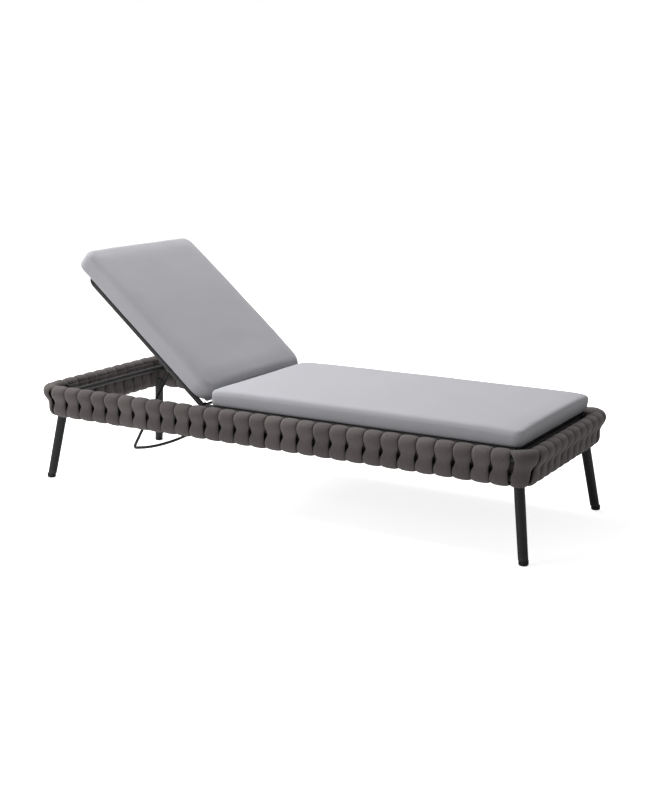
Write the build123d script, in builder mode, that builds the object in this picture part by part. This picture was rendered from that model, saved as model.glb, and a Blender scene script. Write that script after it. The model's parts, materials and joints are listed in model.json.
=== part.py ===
from build123d import *
import math
import os

# A reclining sun lounger: a belt-wound band on two rail loops, four splayed legs, a slatted deck,
# a backrest on two hinge pins, a prop that drops into a pair of racks, and two loose cushions.
# Millimetres. X runs along the length with the head at minus X, Z is up, and the origin is on the
# floor under the middle of the band.

os.makedirs("parts", exist_ok=True)

# Band
LENGTH = 2000.0
WIDTH = 740.0
BAND_TOP = 366.0
BAND_BOTTOM = 240.0
RAIL_DIAMETER = 25.0
RAIL_WALL = 2.0
BELT_THICKNESS = 15.5
BOTTOM_RAIL_INSET = 20.0
CORNER_RADIUS = 52.0

# Belt columns
SIDE_COLUMNS = 29
END_COLUMNS = 10
COLUMN_GAP = 8.6
LOBE_PINCH = 7.0
LOWER_LOBE_LAG = 9.0
WAIST_WIDTH = 38.0
WAIST_THICKNESS = 22.0
WAIST_ROUNDING = 8.0
CORNER_LOBE_WIDTH = 46.0
CORNER_LOWER_LOBE_WIDTH = 26.0
CORNER_LOBE_PINCH = 10.0
BELT_FIT = 0.2
BEND_FIT = 0.5

# Posts that tie the two rails together and carry the deck
POST_THICKNESS = 3.0
POST_WIDTH = 14.0
POST_ARM_DEPTH = 18.0
POST_ARM_MARGIN = 6.0
SIDE_POST_GAPS = (4, 11, 18, 25)
END_POST_GAPS = (3, 7)
WELD_GAP = 0.1

# Legs and feet
FOOT_X = 965.0
FOOT_Y = 333.0
LEG_TOP_OUT = 2.0
LEG_TOP_DIAMETER = 35.0
LEG_FOOT_DIAMETER = 32.0
LEG_WALL = 2.0
GLIDE_HEIGHT = 16.0
GLIDE_ROUNDING = 5.0
SPIGOT_HEIGHT = 18.0
SPIGOT_FIT = 0.2
LEG_FIT = 0.3

# Deck
BEARER_WIDTH = 21.0
BEARER_HEIGHT = 26.0
BEARER_TOP = 342.0
CROSSBAR_DIAMETER = 20.0
CROSSBAR_INSET = 15.0
BEARER_WALL = 2.0
DECK_TUBE_DIAMETER = 20.0
DECK_TUBE_WALL = 2.0
DECK_HALF_WIDTH = 298.0
SLAT_THICKNESS = 6.0
SLAT_WIDTH = 50.0
SLAT_DROP = 2.0
SLAT_END_GAP = 8.0
SEAT_HEAD_X = -236.0
SEAT_TUBE_HEAD_X = -254.0
SEAT_FOOT_X = 914.0
SEAT_SLATS = 12

# Backrest
HINGE_X = -268.0
BACK_ANGLE = 40.0
BACK_TUBE_LIFT = 0.5
BACK_LENGTH = 665.0
BACK_BEND = 40.0
BACK_SLATS = 7
BACK_FIRST_SLAT = 60.0
HINGE_PIN_DIAMETER = 8.0
HINGE_HEAD_DIAMETER = 14.0
HINGE_HEAD_HEIGHT = 4.0
BUSH_DIAMETER = 12.0
RUNNING_FIT = 0.05
CHEEK_THICKNESS = 4.0
CHEEK_WIDTH = 44.0
CHEEK_EYE_RADIUS = 12.0
CHEEK_DROP = 22.0
CHEEK_BOLT_DIAMETER = 6.0
CHEEK_BOLT_SPACING = 26.0
CHEEK_BOLT_HEAD = 10.0

# Prop
PROP_ROD_DIAMETER = 11.0
PROP_HALF_WIDTH = 262.0
PROP_PIVOT_ALONG = 199.0
PROP_PIVOT_DROP = 24.0
PROP_LEAN = 29.7
PROP_ARM_LENGTH = 345.0
PROP_BAR_ALONG = 238.0
PROP_BAR_HALF_LENGTH = 280.0
PROP_BEND = 24.0
PROP_BOW_RADIUS = 860.0
PROP_EYE_DIAMETER = 20.0
PROP_EYE_WIDTH = 12.0
PROP_PIN_DIAMETER = 8.0
PROP_PIN_HEAD = 13.0
PROP_PIN_HEAD_HEIGHT = 3.5
WASHER_DIAMETER = 16.0
WASHER_THICKNESS = 2.6
SIDE_PLAY = 0.2
LUG_THICKNESS = 5.0
LUG_EYE_RADIUS = 10.0

# Racks
RACK_THICKNESS = 6.0
RACK_DEPTH = 16.0
RACK_NOTCHES = 4
RACK_PITCH = 64.0
RACK_REST_NOTCH = 2
RACK_END_MARGIN = 22.0
RACK_NOTCH_DEPTH = 2.0
RACK_NOTCH_EASE = 1.0
RACK_TIP_CLEARANCE = 0.5
RACK_LEG_WIDTH = 28.0
RACK_LEG_TOP_MARGIN = 4.0
RIVET_DIAMETER = 5.0

# Cushions
CUSHION_REST_GAP = 0.3
SEAT_CUSHION_HEAD_X = -238.0
SEAT_CUSHION_FOOT_X = 935.0
SEAT_CUSHION_HALF_WIDTH = 316.0
SEAT_CUSHION_EDGE = 50.0
SEAT_CUSHION_CROWN = 14.0
BACK_CUSHION_START = 22.0
BACK_CUSHION_END = 727.0
BACK_CUSHION_HALF_WIDTH = 311.0
BACK_CUSHION_EDGE = 58.0
BACK_CUSHION_CROWN = 16.0
CUSHION_SIDE_BULGE = 7.0
CUSHION_DRAW_IN = 7.0
CUSHION_END_ROUNDING = 16.0
CUSHION_SHOULDER = 70.0

# Cushion ends: share of the rounding, share of the edge height, draw-in in side bulges, share of the crown
CUSHION_END_STATIONS = (
    (0.0, 0.6, 2.0, 0.5),
    (0.33, 0.82, 1.0, 0.7),
    (1.0, 0.95, 0.5, 0.85),
)
QUARTER_TURN = 90.0
HALF_CORNER = 45.0

# Derived places of the band
ROLL_RADIUS = RAIL_DIAMETER / 2 + BELT_THICKNESS
TOP_Z = BAND_TOP - ROLL_RADIUS
BOTTOM_Z = BAND_BOTTOM + ROLL_RADIUS
RAIL_DROP = TOP_Z - BOTTOM_Z
TOP_X = LENGTH / 2 - ROLL_RADIUS
TOP_Y = WIDTH / 2 - ROLL_RADIUS
BOTTOM_X = TOP_X - BOTTOM_RAIL_INSET
BOTTOM_Y = TOP_Y - BOTTOM_RAIL_INSET
STRAIGHT_X = TOP_X - CORNER_RADIUS
STRAIGHT_Y = TOP_Y - CORNER_RADIUS
BOTTOM_CORNER_RADIUS = CORNER_RADIUS - BOTTOM_RAIL_INSET
SIDE_PITCH = 2 * STRAIGHT_X / SIDE_COLUMNS
END_PITCH = 2 * STRAIGHT_Y / END_COLUMNS

# Derived places of the deck, the backrest and the prop
TUBE_RADIUS = DECK_TUBE_DIAMETER / 2
SEAT_TUBE_Z = BEARER_TOP + TUBE_RADIUS
DECK_TOP = SEAT_TUBE_Z + TUBE_RADIUS
SLAT_LIFT = TUBE_RADIUS - SLAT_DROP - SLAT_THICKNESS
BEARER_INNER = DECK_HALF_WIDTH - BEARER_WIDTH / 2
BEARER_OUTER = DECK_HALF_WIDTH + BEARER_WIDTH / 2
HINGE_Z = SEAT_TUBE_Z + BACK_TUBE_LIFT
BACK_COS = math.cos(math.radians(BACK_ANGLE))
BACK_SIN = math.sin(math.radians(BACK_ANGLE))
BACK_DIRECTION = Vector(-BACK_COS, 0, BACK_SIN)
BACK_NORMAL = Vector(BACK_SIN, 0, BACK_COS)
HINGE = Vector(HINGE_X, 0, HINGE_Z)
PROP_COS = math.cos(math.radians(PROP_LEAN))
PROP_SIN = math.sin(math.radians(PROP_LEAN))
PROP_DIRECTION = Vector(-PROP_SIN, 0, -PROP_COS)
PROP_UNDER = Vector(PROP_COS, 0, -PROP_SIN)
PROP_BAR_OFFSET = PROP_ROD_DIAMETER + WELD_GAP
ACROSS = Vector(0, 1, 0)
UPWARD = Vector(0, 0, 1)
ENDS = (-1, 1)


def back_point(along, across, out):
    """A point of the backrest: along its tubes from the hinge, across it, and out from them."""
    return HINGE + BACK_DIRECTION * along + ACROSS * across + BACK_NORMAL * out


PROP_PIVOT = back_point(PROP_PIVOT_ALONG, 0, -PROP_PIVOT_DROP)


def prop_point(along, across, under):
    """A point of the prop: along its arms from the pivot, across it, and under the arms."""
    return PROP_PIVOT + PROP_DIRECTION * along + ACROSS * across + PROP_UNDER * under


def save(builder, name):
    """Label a finished piece and write it."""
    builder.part.label = name
    export_step(builder.part, f"parts/{name}.step")


def straight_tube(start, end, diameter, wall):
    """A round tube between two points."""
    axis = Vector(end) - Vector(start)
    with BuildPart() as tube:
        with BuildSketch(Plane(origin=start, z_dir=axis)):
            Circle(diameter / 2)
            Circle(diameter / 2 - wall, mode=Mode.SUBTRACT)
        extrude(amount=axis.length)
    return tube.part


def straight_rod(start, end, diameter):
    """A round bar between two points."""
    axis = Vector(end) - Vector(start)
    with BuildPart() as rod:
        with BuildSketch(Plane(origin=start, z_dir=axis)):
            Circle(diameter / 2)
        extrude(amount=axis.length)
    return rod.part


def elbow(center, first, last, bend_radius, diameter, wall=None):
    """A quarter bend about a centre, from the first radial direction to the last; solid without a wall."""
    middle = (Vector(first) + Vector(last)).normalized()
    center = Vector(center)
    with BuildPart() as bend:
        with BuildLine() as path:
            ThreePointArc(
                center + Vector(first) * bend_radius,
                center + middle * bend_radius,
                center + Vector(last) * bend_radius,
            )
        with BuildSketch(Plane(origin=path.line @ 0, z_dir=path.line % 0)):
            Circle(diameter / 2)
            if wall:
                Circle(diameter / 2 - wall, mode=Mode.SUBTRACT)
        sweep(path=path.line)
    return bend.part


def corner_elbows(bend_radius, height, diameter, wall=None):
    """The four corner bends of one rail loop."""
    return [
        elbow((x_end * STRAIGHT_X, y_end * STRAIGHT_Y, height), (x_end, 0, 0), (0, y_end, 0),
              bend_radius, diameter, wall)
        for x_end in ENDS
        for y_end in ENDS
    ]


def lobe(center, direction, width, pinch=LOBE_PINCH):
    """One padded belt turn round a rail: a barrel about the rail's own line."""
    axis_plane = Plane(origin=center, x_dir=direction, z_dir=Vector(direction).cross(UPWARD))
    edge_radius = ROLL_RADIUS - pinch
    with BuildPart() as barrel:
        with BuildSketch(axis_plane):
            with BuildLine():
                half = width / 2
                Polyline((-half, edge_radius), (-half, 0), (half, 0), (half, edge_radius))
                ThreePointArc((half, edge_radius), (0, ROLL_RADIUS), (-half, edge_radius))
            make_face()
        revolve(axis=Axis(center, direction))
    return barrel.part


def waist(top, bottom, direction):
    """The crossing of the belt between its upper and lower turns."""
    axis = Vector(bottom) - Vector(top)
    with BuildPart() as link:
        with BuildSketch(Plane(origin=top, x_dir=Vector(direction).cross(axis).cross(axis), z_dir=axis)):
            RectangleRounded(WAIST_WIDTH, WAIST_THICKNESS, WAIST_ROUNDING)
        extrude(amount=axis.length)
    return link.part


def rail_passage(center, direction, length):
    """The room for a straight stretch of rail inside the belts, about a point of the rail."""
    run = Vector(direction) * length
    return straight_rod(center - run, center + run, RAIL_DIAMETER + 2 * BELT_FIT)


def straight_column(width):
    """One belt column at the origin: rail line along X, inward along Y, top rail at the origin."""
    top = Vector(0, 0, 0)
    bottom = Vector(-LOWER_LOBE_LAG, BOTTOM_RAIL_INSET, -RAIL_DROP)
    along = Vector(1, 0, 0)
    with BuildPart() as column:
        add(lobe(top, along, width))
        add(lobe(bottom, along, width))
        add(waist(top, bottom, along))
        for rail in (top, bottom):
            add(rail_passage(rail, along, width), mode=Mode.SUBTRACT)
    return column.part


def row_planes(places, pitch, middle, direction):
    """Places in a row along one side of the band, counted in pitches from its middle."""
    return [
        Plane(origin=Vector(middle) + Vector(direction) * pitch * place, x_dir=direction, z_dir=UPWARD)
        for place in places
    ]


SIDES = {
    "near": ((0, -TOP_Y, TOP_Z), (1, 0, 0), SIDE_COLUMNS, SIDE_PITCH, SIDE_POST_GAPS),
    "foot": ((TOP_X, 0, TOP_Z), (0, 1, 0), END_COLUMNS, END_PITCH, END_POST_GAPS),
    "far": ((0, TOP_Y, TOP_Z), (-1, 0, 0), SIDE_COLUMNS, SIDE_PITCH, SIDE_POST_GAPS),
    "head": ((-TOP_X, 0, TOP_Z), (0, -1, 0), END_COLUMNS, END_PITCH, END_POST_GAPS),
}

# Rails: straight tubes and corner bends of the top and bottom loops
LOOPS = {
    "top": (TOP_X, TOP_Y, TOP_Z, CORNER_RADIUS),
    "bottom": (BOTTOM_X, BOTTOM_Y, BOTTOM_Z, BOTTOM_CORNER_RADIUS),
}
for loop_name, (half_x, half_y, height, bend_radius) in LOOPS.items():
    tube_ends = {
        "near": ((-STRAIGHT_X, -half_y, height), (STRAIGHT_X, -half_y, height)),
        "far": ((-STRAIGHT_X, half_y, height), (STRAIGHT_X, half_y, height)),
        "head": ((-half_x, -STRAIGHT_Y, height), (-half_x, STRAIGHT_Y, height)),
        "foot": ((half_x, -STRAIGHT_Y, height), (half_x, STRAIGHT_Y, height)),
    }
    for side_name, (start, end) in tube_ends.items():
        with BuildPart() as rail:
            add(straight_tube(start, end, RAIL_DIAMETER, RAIL_WALL))
        save(rail, f"{loop_name}_rail_{side_name}")
    with BuildPart() as rail_elbows:
        add(corner_elbows(bend_radius, height, RAIL_DIAMETER, RAIL_WALL))
    save(rail_elbows, f"{loop_name}_rail_elbows")

# Legs: tapered tubes that splay out from inside the bottom rail's corner bends, and their foot glides
LEG_TOP_Z = BOTTOM_Z + RAIL_DIAMETER / 2
LEGS = {
    f"{y_name}_{x_name}": (
        Vector(x_end * FOOT_X, y_end * FOOT_Y, 0),
        Vector(x_end * (STRAIGHT_X + LEG_TOP_OUT), y_end * (STRAIGHT_Y + LEG_TOP_OUT), LEG_TOP_Z),
    )
    for x_end, x_name in ((-1, "head"), (1, "foot"))
    for y_end, y_name in ((-1, "near"), (1, "far"))
}


def leg_taper(foot, top, grow, extra=0.0):
    """A tapered bar along a leg's line, grown on its radius and lengthened at its top."""
    axis = (top - foot).normalized()
    with BuildPart() as taper:
        with BuildSketch(Plane(origin=foot, z_dir=axis)):
            Circle(LEG_FOOT_DIAMETER / 2 + grow)
        with BuildSketch(Plane(origin=top + axis * extra, z_dir=axis)):
            Circle(LEG_TOP_DIAMETER / 2 + grow)
        loft()
    return taper.part


bottom_bend_passages = corner_elbows(BOTTOM_CORNER_RADIUS, BOTTOM_Z, RAIL_DIAMETER + 2 * WELD_GAP)
bottom_straight_passages = []
for middle, direction, count, pitch, post_gaps in SIDES.values():
    inset = UPWARD.cross(Vector(direction)) * BOTTOM_RAIL_INSET
    bottom_middle = Vector(middle) + inset - UPWARD * RAIL_DROP
    bottom_straight_passages.append(rail_passage(bottom_middle, direction, pitch * count / 2))
for leg_name, (foot, top) in LEGS.items():
    with BuildPart() as leg:
        add(leg_taper(foot, top, 0))
        add(leg_taper(foot, top, -LEG_WALL), mode=Mode.SUBTRACT)
        split(bisect_by=Plane.XY.offset(GLIDE_HEIGHT), keep=Keep.TOP)
        add(bottom_bend_passages, mode=Mode.SUBTRACT)
        add(bottom_straight_passages, mode=Mode.SUBTRACT)
    save(leg, f"leg_{leg_name}")

for leg_name, (foot, top) in LEGS.items():
    axis = top - foot
    seat_share = GLIDE_HEIGHT / LEG_TOP_Z
    tip_share = (GLIDE_HEIGHT + SPIGOT_HEIGHT) / LEG_TOP_Z
    with BuildPart() as glide:
        with BuildSketch(Plane(origin=foot)):
            Circle(LEG_FOOT_DIAMETER / 2)
        extrude(amount=GLIDE_HEIGHT)
        fillet(glide.edges().group_by(Axis.Z)[0], GLIDE_ROUNDING)
        spigot_diameter = LEG_FOOT_DIAMETER - 2 * LEG_WALL - 2 * SPIGOT_FIT
        add(straight_rod(foot + axis * (seat_share / 2), foot + axis * tip_share, spigot_diameter))
    save(glide, f"foot_glide_{leg_name}")

# Belts: a row of columns along each side, and one column round each corner
leg_passages = [leg_taper(foot, top, LEG_FIT, LEG_FIT) for foot, top in LEGS.values()]
belt_bend_passages = corner_elbows(BOTTOM_CORNER_RADIUS, BOTTOM_Z, RAIL_DIAMETER + 2 * BEND_FIT)
belt_bend_passages += corner_elbows(CORNER_RADIUS, TOP_Z, RAIL_DIAMETER + 2 * BEND_FIT)
for side_name, (middle, direction, count, pitch, post_gaps) in SIDES.items():
    one_column = straight_column(pitch - COLUMN_GAP)
    places = [step - (count - 1) / 2 for step in range(count)]
    with BuildPart() as belts:
        with Locations(*row_planes(places, pitch, middle, direction)):
            add(one_column)
        add(leg_passages, mode=Mode.SUBTRACT)
        add(belt_bend_passages, mode=Mode.SUBTRACT)
    save(belts, f"belts_{side_name}")

LAG_ANGLE = math.degrees(LOWER_LOBE_LAG / BOTTOM_CORNER_RADIUS)
with BuildPart() as belts_corners:
    for corner in range(len(LEGS)):
        turn = HALF_CORNER + QUARTER_TURN * corner
        lower_turn = turn - LAG_ANGLE
        radial = Vector(1, 0, 0).rotate(Axis.Z, turn)
        lower_radial = Vector(1, 0, 0).rotate(Axis.Z, lower_turn)
        center = Vector(math.copysign(STRAIGHT_X, radial.X), math.copysign(STRAIGHT_Y, radial.Y), 0)
        upper = center + radial * CORNER_RADIUS + UPWARD * TOP_Z
        lower = center + lower_radial * BOTTOM_CORNER_RADIUS + UPWARD * BOTTOM_Z
        add(lobe(upper, UPWARD.cross(radial), CORNER_LOBE_WIDTH))
        add(lobe(lower, UPWARD.cross(lower_radial), CORNER_LOWER_LOBE_WIDTH, CORNER_LOBE_PINCH))
        add(waist(upper, lower, UPWARD.cross(radial)))
    add(leg_passages, mode=Mode.SUBTRACT)
    add(belt_bend_passages, mode=Mode.SUBTRACT)
    add(bottom_straight_passages, mode=Mode.SUBTRACT)
save(belts_corners, "belts_corners")

# Posts: thin plates in the gaps between belt columns, with an arm to the deck bearers on the long sides
POST_SLANT = math.hypot(LOWER_LOBE_LAG, RAIL_DROP)
ARM_TOP = (BEARER_TOP - POST_ARM_MARGIN - TOP_Z) * POST_SLANT / RAIL_DROP
for side_name, (middle, direction, count, pitch, post_gaps) in SIDES.items():
    along = Vector(direction)
    inward = UPWARD.cross(along)
    slant = along * LOWER_LOBE_LAG + UPWARD * RAIL_DROP
    gap_places = [gap - count / 2 for gap in post_gaps]
    post_planes = [
        Plane(origin=place.origin, x_dir=inward, z_dir=inward.cross(slant))
        for place in row_planes(gap_places, pitch, middle, direction)
    ]
    half = POST_WIDTH / 2
    reach = TOP_Y - BEARER_OUTER - WELD_GAP
    with BuildPart() as posts:
        with BuildSketch(*post_planes):
            Polygon((-half, 0), (half, 0), (BOTTOM_RAIL_INSET + half, -POST_SLANT),
                    (BOTTOM_RAIL_INSET - half, -POST_SLANT), align=None)
            if count == SIDE_COLUMNS:
                Polygon((0, ARM_TOP), (reach, ARM_TOP), (reach, ARM_TOP - POST_ARM_DEPTH),
                        (0, ARM_TOP - POST_ARM_DEPTH), align=None)
        extrude(amount=POST_THICKNESS / 2, both=True)
        for rail in (Vector(middle), Vector(middle) + inward * BOTTOM_RAIL_INSET - UPWARD * RAIL_DROP):
            run = along * pitch * count / 2
            add(straight_rod(rail - run, rail + run, RAIL_DIAMETER + 2 * WELD_GAP), mode=Mode.SUBTRACT)
    save(posts, f"posts_{side_name}")

# Deck: two bearers on the posts' arms, crossbars, and a seat frame with slats between its tubes
CROSSBAR_Z = BEARER_TOP - BEARER_HEIGHT / 2
bearer_bolt_xs = [HINGE_X + end * CHEEK_BOLT_SPACING / 2 for end in ENDS]
BOLT_Z = BEARER_TOP - CHEEK_DROP / 2
for y_end, side_name in ((-1, "near"), (1, "far")):
    with BuildPart() as bearer:
        center = (0, y_end * DECK_HALF_WIDTH, CROSSBAR_Z)
        with BuildSketch(Plane(origin=center, x_dir=ACROSS, z_dir=(1, 0, 0))):
            Rectangle(BEARER_WIDTH, BEARER_HEIGHT)
            Rectangle(BEARER_WIDTH - 2 * BEARER_WALL, BEARER_HEIGHT - 2 * BEARER_WALL, mode=Mode.SUBTRACT)
        extrude(amount=STRAIGHT_X, both=True)
        with BuildSketch(Plane(origin=center, x_dir=(1, 0, 0), z_dir=ACROSS)):
            with Locations(*[(x, CROSSBAR_Z - BOLT_Z) for x in bearer_bolt_xs]):
                Circle(CHEEK_BOLT_DIAMETER / 2 + RUNNING_FIT)
        extrude(amount=BEARER_WIDTH, both=True, mode=Mode.SUBTRACT)
    save(bearer, f"deck_bearer_{side_name}")

with BuildPart() as crossbars:
    for place in (-STRAIGHT_X + CROSSBAR_INSET, SEAT_HEAD_X + CROSSBAR_INSET, STRAIGHT_X - CROSSBAR_INSET):
        reach = BEARER_INNER - WELD_GAP
        add(straight_tube((place, -reach, CROSSBAR_Z), (place, reach, CROSSBAR_Z),
                          CROSSBAR_DIAMETER, DECK_TUBE_WALL))
save(crossbars, "deck_crossbars")

for y_end, side_name in ((-1, "near"), (1, "far")):
    with BuildPart() as seat_tube:
        y_place = y_end * DECK_HALF_WIDTH
        add(straight_tube((SEAT_TUBE_HEAD_X, y_place, SEAT_TUBE_Z), (SEAT_FOOT_X, y_place, SEAT_TUBE_Z),
                          DECK_TUBE_DIAMETER, DECK_TUBE_WALL))
    save(seat_tube, f"seat_tube_{side_name}")

with BuildPart() as seat_cross_tubes:
    for place in (SEAT_HEAD_X + TUBE_RADIUS, SEAT_FOOT_X - TUBE_RADIUS):
        reach = DECK_HALF_WIDTH - TUBE_RADIUS - WELD_GAP
        add(straight_tube((place, -reach, SEAT_TUBE_Z), (place, reach, SEAT_TUBE_Z),
                          DECK_TUBE_DIAMETER, DECK_TUBE_WALL))
save(seat_cross_tubes, "seat_cross_tubes")

SEAT_MIDDLE = (SEAT_HEAD_X + SEAT_FOOT_X) / 2
SEAT_SLAT_RUN = SEAT_FOOT_X - SEAT_HEAD_X - 2 * (DECK_TUBE_DIAMETER + SLAT_END_GAP) - SLAT_WIDTH
with BuildPart() as seat_slats:
    with BuildSketch(Plane(origin=(SEAT_MIDDLE, 0, SEAT_TUBE_Z + SLAT_LIFT))):
        with GridLocations(SEAT_SLAT_RUN / (SEAT_SLATS - 1), 1, SEAT_SLATS, 1):
            Rectangle(SLAT_WIDTH, 2 * DECK_HALF_WIDTH)
    extrude(amount=SLAT_THICKNESS)
    for y_end in ENDS:
        y_place = y_end * DECK_HALF_WIDTH
        add(straight_rod((SEAT_HEAD_X, y_place, SEAT_TUBE_Z), (SEAT_FOOT_X, y_place, SEAT_TUBE_Z),
                         DECK_TUBE_DIAMETER + 2 * WELD_GAP), mode=Mode.SUBTRACT)
save(seat_slats, "seat_slats")

# Hinges: two cheeks a side bolted through the bearer, a pin, and a bush in the backrest's tube end
CHEEK_BASE = BEARER_TOP - CHEEK_DROP
for y_end, side_name in ((-1, "near"), (1, "far")):
    with BuildPart() as cheeks:
        inner_face = y_end * (BEARER_INNER - CHEEK_THICKNESS)
        outer_face = y_end * (BEARER_OUTER + CHEEK_THICKNESS)
        thickness = y_end * CHEEK_THICKNESS
        for face, depth in ((inner_face, thickness), (outer_face, -thickness)):
            with BuildSketch(Plane(origin=(HINGE_X, face, HINGE_Z), x_dir=(1, 0, 0), z_dir=(0, 1, 0))):
                Circle(CHEEK_EYE_RADIUS)
                Polygon((-CHEEK_EYE_RADIUS, 0), (CHEEK_EYE_RADIUS, 0),
                        (CHEEK_WIDTH / 2, HINGE_Z - BEARER_TOP),
                        (CHEEK_WIDTH / 2, HINGE_Z - CHEEK_BASE), (-CHEEK_WIDTH / 2, HINGE_Z - CHEEK_BASE),
                        (-CHEEK_WIDTH / 2, HINGE_Z - BEARER_TOP), align=None)
                Circle(HINGE_PIN_DIAMETER / 2 + RUNNING_FIT, mode=Mode.SUBTRACT)
                with Locations(*[(x - HINGE_X, HINGE_Z - BOLT_Z) for x in bearer_bolt_xs]):
                    Circle(CHEEK_BOLT_DIAMETER / 2 + RUNNING_FIT, mode=Mode.SUBTRACT)
            extrude(amount=depth)
    save(cheeks, f"hinge_cheeks_{side_name}")

with BuildPart() as hinge_bolts:
    for y_end in ENDS:
        head_face = y_end * (BEARER_INNER - CHEEK_THICKNESS)
        tail_face = y_end * (BEARER_OUTER + CHEEK_THICKNESS)
        for x in bearer_bolt_xs:
            add(straight_rod((x, head_face, BOLT_Z), (x, tail_face, BOLT_Z), CHEEK_BOLT_DIAMETER))
            head_top = head_face - y_end * HINGE_HEAD_HEIGHT
            add(straight_rod((x, head_face, BOLT_Z), (x, head_top, BOLT_Z), CHEEK_BOLT_HEAD))
save(hinge_bolts, "hinge_bolts")

for y_end, side_name in ((-1, "near"), (1, "far")):
    with BuildPart() as hinge_pin:
        head_face = y_end * (BEARER_INNER - CHEEK_THICKNESS)
        tail_face = y_end * (BEARER_OUTER + CHEEK_THICKNESS)
        add(straight_rod(HINGE + ACROSS * head_face, HINGE + ACROSS * tail_face, HINGE_PIN_DIAMETER))
        head_top = head_face - y_end * HINGE_HEAD_HEIGHT
        add(straight_rod(HINGE + ACROSS * head_face, HINGE + ACROSS * head_top, HINGE_HEAD_DIAMETER))
    save(hinge_pin, f"hinge_pin_{side_name}")

bush_length = DECK_TUBE_DIAMETER
with BuildPart() as hinge_bushes:
    for y_end in ENDS:
        start = HINGE + ACROSS * (y_end * DECK_HALF_WIDTH - bush_length / 2)
        bush_wall = (BUSH_DIAMETER - HINGE_PIN_DIAMETER) / 2 - RUNNING_FIT
        add(straight_tube(start, start + ACROSS * bush_length, BUSH_DIAMETER, bush_wall))
save(hinge_bushes, "hinge_bushes")

# Backrest frame: side tubes with a hinge barrel, top bends and tube, and slats set between the tubes
BEND_START = BACK_LENGTH - TUBE_RADIUS - BACK_BEND
BEND_ACROSS = DECK_HALF_WIDTH - BACK_BEND
for y_end, side_name in ((-1, "near"), (1, "far")):
    with BuildPart() as back_tube:
        across = y_end * DECK_HALF_WIDTH
        add(straight_tube(back_point(0, across, 0), back_point(BEND_START, across, 0),
                          DECK_TUBE_DIAMETER, DECK_TUBE_WALL))
        barrel_start = HINGE + ACROSS * (across - bush_length / 2)
        barrel_end = barrel_start + ACROSS * bush_length
        add(straight_rod(barrel_start, barrel_end, DECK_TUBE_DIAMETER))
        add(straight_rod(barrel_start, barrel_end, BUSH_DIAMETER + 2 * RUNNING_FIT), mode=Mode.SUBTRACT)
    save(back_tube, f"backrest_tube_{side_name}")

with BuildPart() as back_elbows:
    for y_end in ENDS:
        add(elbow(back_point(BEND_START, y_end * BEND_ACROSS, 0), ACROSS * y_end, BACK_DIRECTION,
                  BACK_BEND, DECK_TUBE_DIAMETER, DECK_TUBE_WALL))
save(back_elbows, "backrest_elbows")

with BuildPart() as back_top_tube:
    top_along = BACK_LENGTH - TUBE_RADIUS
    add(straight_tube(back_point(top_along, -BEND_ACROSS, 0), back_point(top_along, BEND_ACROSS, 0),
                      DECK_TUBE_DIAMETER, DECK_TUBE_WALL))
save(back_top_tube, "backrest_top_tube")

with BuildPart() as prop_tube:
    reach = DECK_HALF_WIDTH - TUBE_RADIUS - WELD_GAP
    add(straight_tube(back_point(PROP_PIVOT_ALONG, -reach, 0), back_point(PROP_PIVOT_ALONG, reach, 0),
                      DECK_TUBE_DIAMETER, DECK_TUBE_WALL))
save(prop_tube, "backrest_prop_tube")

BACK_SLAT_RUN = BEND_START - SLAT_WIDTH / 2 - BACK_FIRST_SLAT
back_slat_middle = back_point(BACK_FIRST_SLAT + BACK_SLAT_RUN / 2, 0, SLAT_LIFT)
with BuildPart() as back_slats:
    with BuildSketch(Plane(origin=back_slat_middle, x_dir=BACK_DIRECTION, z_dir=BACK_NORMAL)):
        with GridLocations(BACK_SLAT_RUN / (BACK_SLATS - 1), 1, BACK_SLATS, 1):
            Rectangle(SLAT_WIDTH, 2 * DECK_HALF_WIDTH)
    extrude(amount=SLAT_THICKNESS)
    for y_end in ENDS:
        across = y_end * DECK_HALF_WIDTH
        add(straight_rod(back_point(0, across, 0), back_point(BACK_LENGTH, across, 0),
                         DECK_TUBE_DIAMETER + 2 * WELD_GAP), mode=Mode.SUBTRACT)
save(back_slats, "backrest_slats")

# Prop: lugs under the backrest, pins and washers, two arms, a rest bar and a bowed grip
LUG_INNER = PROP_HALF_WIDTH + PROP_EYE_WIDTH / 2 + WASHER_THICKNESS + 2 * SIDE_PLAY
LUG_OUTER = LUG_INNER + LUG_THICKNESS
EYE_INNER = PROP_HALF_WIDTH - PROP_EYE_WIDTH / 2
EYE_OUTER = PROP_HALF_WIDTH + PROP_EYE_WIDTH / 2
PIN_HOLE = PROP_PIN_DIAMETER / 2 + RUNNING_FIT
with BuildPart() as prop_lugs:
    for y_end in ENDS:
        lug_face = PROP_PIVOT + ACROSS * y_end * LUG_INNER
        tube_side = y_end * PROP_PIVOT_DROP
        with BuildSketch(Plane(origin=lug_face, x_dir=BACK_DIRECTION, z_dir=ACROSS * y_end)):
            Circle(LUG_EYE_RADIUS)
            Polygon((-LUG_EYE_RADIUS, 0), (LUG_EYE_RADIUS, 0), (LUG_EYE_RADIUS, tube_side),
                    (-LUG_EYE_RADIUS, tube_side), align=None)
            Circle(PIN_HOLE, mode=Mode.SUBTRACT)
        extrude(amount=LUG_THICKNESS)
    add(straight_rod(back_point(PROP_PIVOT_ALONG, -LUG_OUTER, 0),
                     back_point(PROP_PIVOT_ALONG, LUG_OUTER, 0),
                     DECK_TUBE_DIAMETER + 2 * WELD_GAP), mode=Mode.SUBTRACT)
save(prop_lugs, "prop_lugs")

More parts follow.
